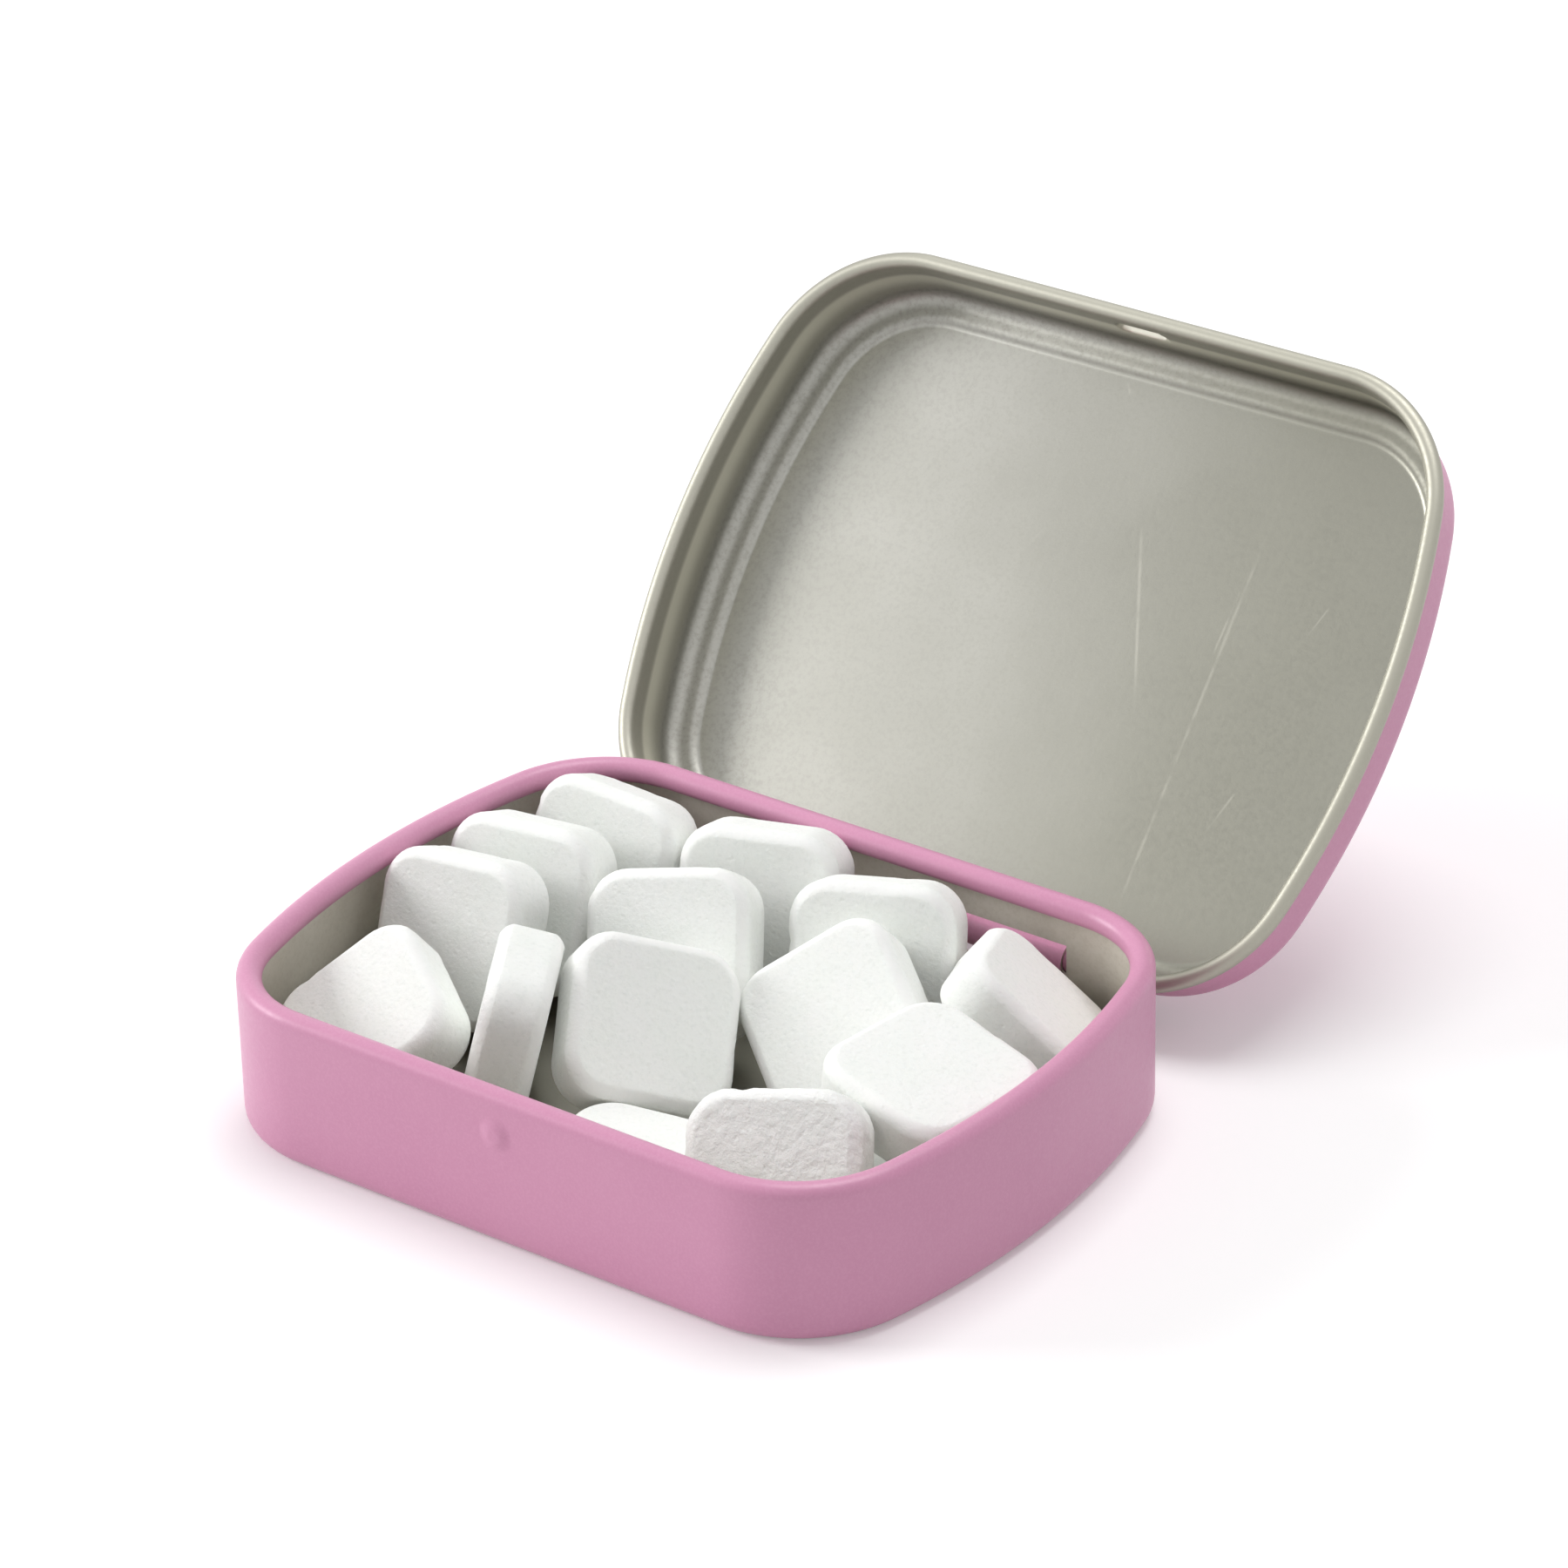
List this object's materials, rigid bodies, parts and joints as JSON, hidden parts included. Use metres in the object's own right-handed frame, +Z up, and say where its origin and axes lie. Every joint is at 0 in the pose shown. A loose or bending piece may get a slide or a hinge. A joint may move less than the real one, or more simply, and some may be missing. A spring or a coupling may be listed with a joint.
{
  "type": "mint tin",
  "caption": "Small pink hinged tin, open, with white mints in it. The lid has a rolled rim and a stepped panel, turns on rolled tabs and closes over the base.",
  "frame": {"origin": "middle of the base's underside", "axes": "+Z up, +X along the long side to the right seen from the front, -Y to the front wall with the latch bump, +Y to the hinge"},
  "size_m": [0.062, 0.0814, 0.0402],
  "materials": {
    "pink_enamel": "satin",
    "mint_tablet": "matte"
  },
  "bodies": {
    "filled_base": {"base": "pink_enamel", "mint_01": "mint_tablet", "mint_02": "mint_tablet", "mint_03": "mint_tablet", "mint_04": "mint_tablet", "mint_05": "mint_tablet", "mint_06": "mint_tablet", "mint_07": "mint_tablet", "mint_08": "mint_tablet", "mint_09": "mint_tablet", "mint_10": "mint_tablet", "mint_11": "mint_tablet", "mint_12": "mint_tablet", "mint_13": "mint_tablet", "mint_14": "mint_tablet", "mint_15": "mint_tablet"},
    "hinged_lid": {"lid": "pink_enamel"}
  },
  "joints": [
    {"name": "lid_hinge", "type": "hinge", "parent": "filled_base", "child": "hinged_lid", "pos_m": [0, 0.0231, 0.006], "axis": [1, 0, 0], "range_deg": [0, 131.4]}
  ]
}
